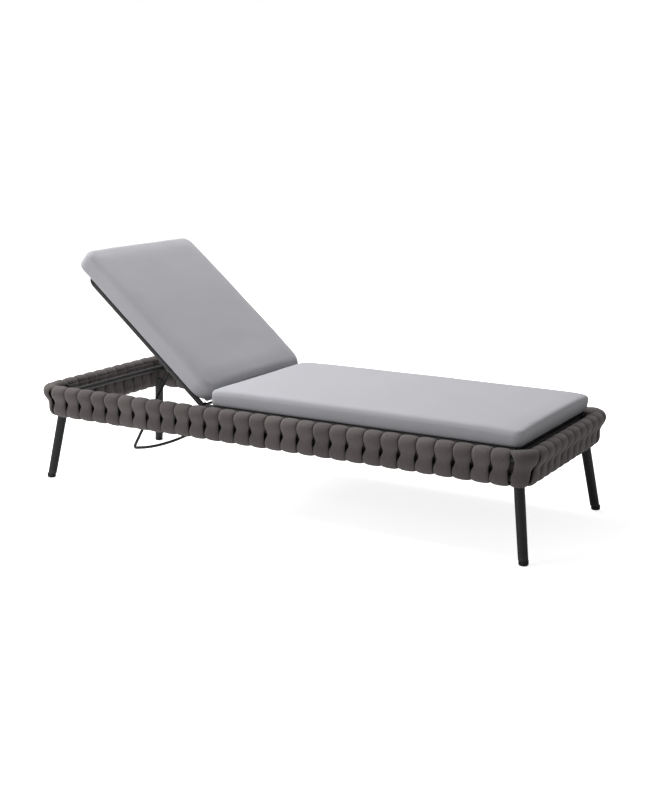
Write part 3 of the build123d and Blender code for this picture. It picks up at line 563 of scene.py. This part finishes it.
def belt_ring(shape, side, along, here, face, half_width, half_thick):
    """One cross-section of a belt: a soft oval across the belt, at a step of its path."""
    ring = []
    for turn in range(BELT_RING):
        angle = 2 * math.pi * turn / BELT_RING
        across = math.copysign(abs(math.cos(angle)) ** BELT_SQUARENESS, math.cos(angle)) * half_width
        thick = math.sin(angle) * half_thick
        up = here[0] + face.x * thick
        out = here[1] + face.y * thick
        height = TOP_Z - RAIL_DROP / 2 + (up * RAIL_DROP - out * RAIL_INSET) / BELT_SPAN
        outward = (up * RAIL_INSET + out * RAIL_DROP) / BELT_SPAN - RAIL_INSET / 2
        ring.append((shape.verts.new(band_point(side, along + across, outward, height)), across))
    return ring


def belt_rings(shape, side, along, widths, pitch):
    """The cross-sections of one belt turn, drawn in between the rails, and how far along the belt each is."""
    lag = BELT_LAG * draw.uniform(*LAG_SPREAD)
    puff = BELT_THICK / 2 * draw.uniform(*PUFF_SPREAD)
    rings = []
    lengths = []
    length = 0.0
    for step in range(BELT_STEPS + 1):
        here = belt_path(step % BELT_STEPS)
        ahead = belt_path((step + 1) % BELT_STEPS)
        behind = belt_path((step - 1) % BELT_STEPS)
        run = Vector((ahead[0] - behind[0], ahead[1] - behind[1])).normalized()
        face = Vector((run.y, -run.x))
        drawn = math.exp(-((here[0] / BELT_PINCH_REACH) ** 2)) if here[1] > 0 else 0.0
        inside = 0.5 - here[1] / (2 * BELT_RADIUS)
        width = widths[0] + (widths[1] - widths[0]) * inside
        half_width = width / 2 * (1 - BELT_PINCH * drawn)
        place = along + belt_drift(step, lag, pitch)
        rings.append(belt_ring(shape, side, place, here, face, half_width, puff))
        lengths.append(length)
        length += math.hypot(ahead[0] - here[0], ahead[1] - here[1])
    return rings, lengths


def belt_column(shape, layers, side, along, widths, pitch):
    """Add one padded turn of the winding belt to a mesh, round both rails, with its layout and tone."""
    layout, tone_layer = layers
    rings, lengths = belt_rings(shape, side, along, widths, pitch)
    tone = draw.random()
    for step in range(BELT_STEPS):
        for turn in range(BELT_RING):
            beside = (turn + 1) % BELT_RING
            quad = (rings[step][turn], rings[step][beside], rings[step + 1][beside], rings[step + 1][turn])
            face = shape.faces.new([vert for vert, _ in quad])
            face.smooth = True
            places = (lengths[step], lengths[step], lengths[step + 1], lengths[step + 1])
            for loop, (_, across), place in zip(face.loops, quad, places):
                loop[layout].uv = (place, across)
                loop[tone_layer] = (tone, tone, tone, 1.0)
    for ring in (rings[0], rings[-1]):
        shape.faces.new([vert for vert, _ in ring])


def belt_object(name, columns):
    """One object of belt turns from a list of (side, place along it, widths outside and inside, pitch)."""
    shape = bmesh.new()
    layers = (shape.loops.layers.uv.new("belt"), shape.loops.layers.float_color.new("column_tone"))
    for column in columns:
        belt_column(shape, layers, *column)
    bmesh.ops.recalc_face_normals(shape, faces=shape.faces)
    mesh = bpy.data.meshes.new(name)
    shape.to_mesh(mesh)
    shape.free()
    belts = new_object(name, mesh)
    belts.data.materials.append(SLOT_FINISHES["belt_fabric"])
    return belts


def make_belts():
    """Belt turns along each side and round the corners, in place of the plain belt solids."""
    corner_widths = (CORNER_ARC * CORNER_FILL, CORNER_ARC * CORNER_INNER_FILL)
    corner_columns = []
    for name, side in SIDES.items():
        pitch = 2 * side.half / side.columns
        widths = (pitch * BELT_FILL, pitch * BELT_FILL)
        places = [(step - (side.columns - 1) / 2) * pitch for step in range(side.columns)]
        columns = [(side, place, widths, pitch) for place in places]
        corner_columns.append((side, side.half + CORNER_ARC / 2, corner_widths, BELT_LAG))
        dress(belt_object(f"belt_wrap_{name}", columns), "base", f"belts_{name}")
    dress(belt_object("belt_wrap_corners", corner_columns), "base", "belts_corners")


# Cushions


def round_edges(shape, edges, radius):
    """Round some edges of a mesh."""
    bmesh.ops.bevel(
        shape, geom=edges, offset=radius, segments=RIM_STEPS, profile=ROUND_PROFILE, affect="EDGES"
    )


def rounded_block(name, low, high, plan_radius, top_radius, base_radius):
    """A closed block with rounded upright edges, a soft top rim and a tighter bottom rim."""
    shape = bmesh.new()
    size = high - low
    bmesh.ops.create_cube(shape, size=1.0)
    for vert in shape.verts:
        vert.co = low + Vector((size[axis] * (vert.co[axis] + 0.5) for axis in range(3)))
    upright = [edge for edge in shape.edges if abs(edge.verts[0].co.z - edge.verts[1].co.z) > size.z / 2]
    round_edges(shape, upright, plan_radius)
    for height, radius in ((high.z, top_radius), (low.z, base_radius)):
        level = {vert for vert in shape.verts if abs(vert.co.z - height) < FLAT_TOLERANCE}
        flat = [face for face in shape.faces if level.issuperset(face.verts)]
        rim = list({edge for face in flat for edge in face.edges})
        round_edges(shape, rim, radius)
    mesh = bpy.data.meshes.new(name)
    shape.to_mesh(mesh)
    shape.free()
    return new_object(name, mesh)


def apply_modifiers(obj):
    """Replace an object's mesh by its evaluated mesh and drop its modifiers."""
    evaluated = obj.evaluated_get(bpy.context.evaluated_depsgraph_get())
    made = bpy.data.meshes.new_from_object(evaluated)
    obj.modifiers.clear()
    obj.data = made


def voxel_skin(obj):
    """Give a block an even skin of small faces."""
    remesh = obj.modifiers.new("skin", "REMESH")
    remesh.mode = "VOXEL"
    remesh.voxel_size = VOXEL
    apply_modifiers(obj)


def add_cover(obj):
    """A cloth cover under an even pressure, with no weight of its own."""
    cover = obj.modifiers.new("cover", "CLOTH")
    cover.settings.quality = COVER_QUALITY
    cover.settings.mass = COVER_MASS
    cover.settings.tension_stiffness = COVER_STRETCH
    cover.settings.compression_stiffness = COVER_STRETCH
    cover.settings.shear_stiffness = COVER_SHEAR
    cover.settings.bending_stiffness = COVER_BENDING
    cover.settings.use_pressure = True
    cover.settings.uniform_pressure_force = COVER_PRESSURE
    cover.settings.effector_weights.gravity = 0.0
    cover.point_cache.frame_start = 1
    cover.point_cache.frame_end = COVER_FRAMES


def eased(length, limit):
    """A length that eases off towards a limit."""
    return limit * math.tanh(length / limit)


def evened(mesh, moves):
    """Moves of a skin's points, evened out over their neighbours so that no pucker is left."""
    moves = numpy.array(moves)
    ends = numpy.array([edge.vertices[:] for edge in mesh.edges])
    counts = 1 + numpy.bincount(ends.ravel(), minlength=len(moves))
    for _ in range(EVEN_PASSES):
        total = moves.copy()
        numpy.add.at(total, ends[:, 0], moves[ends[:, 1]])
        numpy.add.at(total, ends[:, 1], moves[ends[:, 0]])
        moves = total / counts[:, None]
    return moves.tolist()


def inflate(obj, crown, bulge, floor):
    """Blow a cushion up by cloth pressure; hold its rise and its bulge, and keep its resting face flat."""
    before = [(vert.co.copy(), vert.normal.copy()) for vert in obj.data.vertices]
    add_cover(obj)
    scene = bpy.context.scene
    for step in range(1, COVER_FRAMES + 1):
        scene.frame_set(step)
    apply_modifiers(obj)
    scene.frame_set(1)
    moves = []
    for vert, (start, normal) in zip(obj.data.vertices, before):
        moved = vert.co - start
        inward = min(0.0, moved.dot(normal))
        moved -= normal * inward * FOAM_HOLD
        sideways = math.hypot(moved.x, moved.y)
        ease = eased(sideways, bulge) / sideways if sideways > 0 else 0.0
        rise = math.copysign(eased(abs(moved.z), crown), moved.z)
        moves.append((moved.x * ease, moved.y * ease, rise))
    for vert, (start, _), move in zip(obj.data.vertices, before, evened(obj.data, moves)):
        vert.co = start + Vector(move)
        vert.co.z = max(vert.co.z, floor)


def soften(obj, floor):
    """Slow unevenness of a hand-filled cover, away from its resting face."""
    points = [(vert.co.copy(), vert.normal.copy()) for vert in obj.data.vertices]
    for vert, (point, normal) in zip(obj.data.vertices, points):
        patch = point / FILL_PATCH
        uneven = noise.noise(patch) + FILL_FINE_SHARE * noise.noise(patch * FILL_FINE_TIMES)
        vert.co = point + normal * FILL_UNEVEN * uneven
        vert.co.z = max(vert.co.z, floor)


def subdivide(obj):
    """One smooth subdivision of a cushion's skin, shaded smooth."""
    subdivision = obj.modifiers.new("smooth", "SUBSURF")
    subdivision.levels = 1
    subdivision.render_levels = 1
    apply_modifiers(obj)
    for polygon in obj.data.polygons:
        polygon.use_smooth = True


def stuffed_cushion(name, low, high, crown, corner, top_rim, base_rim):
    """A stuffed cushion in its own flat frame, blown up from a rounded block."""
    inset = Vector((CUSHION_BULGE, CUSHION_BULGE, 0))
    top = high - inset - UP * crown
    block = rounded_block(name, low + inset, top, corner, top_rim, base_rim)
    voxel_skin(block)
    inflate(block, crown, CUSHION_BULGE, low.z)
    soften(block, low.z)
    return block


def finish_cushion(cushion, body, node):
    """Smooth a cushion and put it in its node's place."""
    subdivide(cushion)
    cushion.data.materials.append(SLOT_FINISHES["cushion_fabric"])
    dress(cushion, body, node)


def end_share(distance, reach):
    """Share of a change that fades out over a reach from the end of a cushion."""
    return max(0.0, 1 - distance / reach)


def middle_share(vert, high, squareness=2):
    """Share of a change that fades out from the middle of a cushion to its sides."""
    return max(0.0, 1 - (vert.co.y / high.y) ** squareness)


def height_share(vert, low, high):
    """How high a point of a cushion is, from its resting face to its top."""
    return (vert.co.z - low.z) / (high.z - low.z)


def lean_foot_end(cushion, low, high):
    """Lean the foot end of the seat cushion out over the deck, most at its top."""
    for vert in cushion.data.vertices:
        near_end = end_share(high.x - vert.co.x, FOOT_LEAN_REACH) ** 2
        vert.co.x += FOOT_LEAN * near_end * height_share(vert, low, high)


def dip_head_end(cushion, low, high):
    """Press the head end of the seat cushion down a little under the back cushion, most in its middle."""
    for vert in cushion.data.vertices:
        near_end = end_share(vert.co.x - low.x, HEAD_DIP_REACH) ** 2
        vert.co.z -= HEAD_DIP * near_end * middle_share(vert, high) * height_share(vert, low, high)


def make_seat_cushion():
    """Seat cushion on the seat slats."""
    low, high = corners("seat_cushion")
    cushion = stuffed_cushion("seat_pad", low, high, SEAT_CROWN, SEAT_CORNER, SEAT_TOP_RIM, SEAT_BASE_RIM)
    lean_foot_end(cushion, low, high)
    dip_head_end(cushion, low, high)
    finish_cushion(cushion, "base", "seat_cushion")


def fill_lower_end(cushion, low, high):
    """Fill out the back cushion's end on the seat cushion, and let it sag between the tubes."""
    for vert in cushion.data.vertices:
        near_end = end_share(high.x - vert.co.x, END_PUFF_REACH) ** 2
        height = height_share(vert, low, high)
        fullness = END_EDGE_SHARE + (1 - END_EDGE_SHARE) * math.sin(math.pi * height)
        push = END_FILL * near_end * middle_share(vert, high, END_SQUARENESS) * fullness
        rise = END_PUFF * near_end * middle_share(vert, high) * height
        overhang = end_share(high.x - vert.co.x, END_SAG_REACH)
        between_tubes = min(1.0, max(0.0, (END_SAG_HALF_WIDTH - abs(vert.co.y)) / END_SAG_EASE))
        sag = END_SAG * overhang * between_tubes * (1 - height)
        vert.co += Vector((push, 0, rise - sag))


def make_back_cushion():
    """Back cushion along the raised backrest, made flat and then turned about the hinge."""
    home = Matrix.Translation(HINGE) @ Matrix.Rotation(BACK_ANGLE, 4, "Y")
    flat = home.inverted()
    points = [flat @ vert.co for vert in frame["nodes"]["back_cushion"].data.vertices]
    low = Vector((min(point[axis] for point in points) for axis in range(3)))
    high = Vector((max(point[axis] for point in points) for axis in range(3)))
    low -= Vector((BACK_FULLER.x, BACK_FULLER.y, 0))
    high += Vector((0, BACK_FULLER.y, BACK_FULLER.z))
    cushion = stuffed_cushion("back_pad", low, high, BACK_CROWN, BACK_CORNER, BACK_TOP_RIM, BACK_BASE_RIM)
    fill_lower_end(cushion, low, high)
    cushion.matrix_world = home
    finish_cushion(cushion, "backrest", "back_cushion")
    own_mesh(cushion)


# Stage


def make_floor():
    """Plain pale floor that reads white to the camera and keeps the object's shadow."""
    mesh = bpy.data.meshes.new("floor")
    signs = ((-1, -1), (1, -1), (1, 1), (-1, 1))
    mesh.from_pydata([(x * FLOOR_REACH, y * FLOOR_REACH, 0) for x, y in signs], [], [(0, 1, 2, 3)])
    floor = new_object("floor", mesh)
    material, tree, shader = new_material("pale floor")
    plug(tree, shader.inputs["Base Color"], FLOOR)
    plug(tree, shader.inputs["Emission Color"], WHITE)
    set_inputs(shader, {"Roughness": FLOOR_ROUGHNESS, "Specular IOR Level": 0.0})
    rays = tree.nodes.new("ShaderNodeLightPath")
    glow = math_node(tree, "MULTIPLY", rays.outputs["Is Camera Ray"], FLOOR_GLOW)
    tree.links.new(glow, shader.inputs["Emission Strength"])
    floor.data.materials.append(material)
    return floor


def make_world():
    """White surroundings: full white to the camera and through clear pieces, a softer fill for the rest."""
    world = bpy.data.worlds.new("studio")
    bpy.context.scene.world = world
    world.use_nodes = True
    tree = world.node_tree
    background = tree.nodes["Background"]
    plug(tree, background.inputs["Color"], WHITE)
    rays = tree.nodes.new("ShaderNodeLightPath")
    seen = math_node(tree, "MAXIMUM", rays.outputs["Is Camera Ray"], rays.outputs["Is Transmission Ray"])
    strength = math_node(tree, "MULTIPLY_ADD", seen, 1 - SURROUND_FILL, SURROUND_FILL)
    tree.links.new(strength, background.inputs["Strength"])


def point_along(obj, direction):
    """Turn a lamp or camera so that it looks along a direction."""
    obj.rotation_euler = direction.to_track_quat("-Z", "Y").to_euler()


def make_lamp(name, place, aim, size, power):
    """A soft square lamp at a place, turned towards a point."""
    lamp = bpy.data.lights.new(name, "AREA")
    lamp.shape = "SQUARE"
    lamp.size = size
    lamp.energy = power
    obj = new_object(name, lamp)
    obj.location = place
    point_along(obj, Vector(aim) - Vector(place))
    return obj


def make_camera():
    """Camera at the photograph's angle."""
    camera = bpy.data.cameras.new("camera")
    camera.lens = CAMERA_LENS
    camera.sensor_width = CAMERA_SENSOR
    camera.sensor_fit = "AUTO"
    obj = new_object("camera", camera)
    obj.location = CAMERA_EYE
    point_along(obj, CAMERA_LOOK)
    bpy.context.scene.camera = obj
    return obj


finish_frame_nodes()
make_belts()
make_seat_cushion()
make_back_cushion()
make_world()
stage = [make_floor(), *(make_lamp(name, **lamp) for name, lamp in LAMPS.items()), make_camera()]
bpy.context.scene.view_settings.view_transform = "Standard"
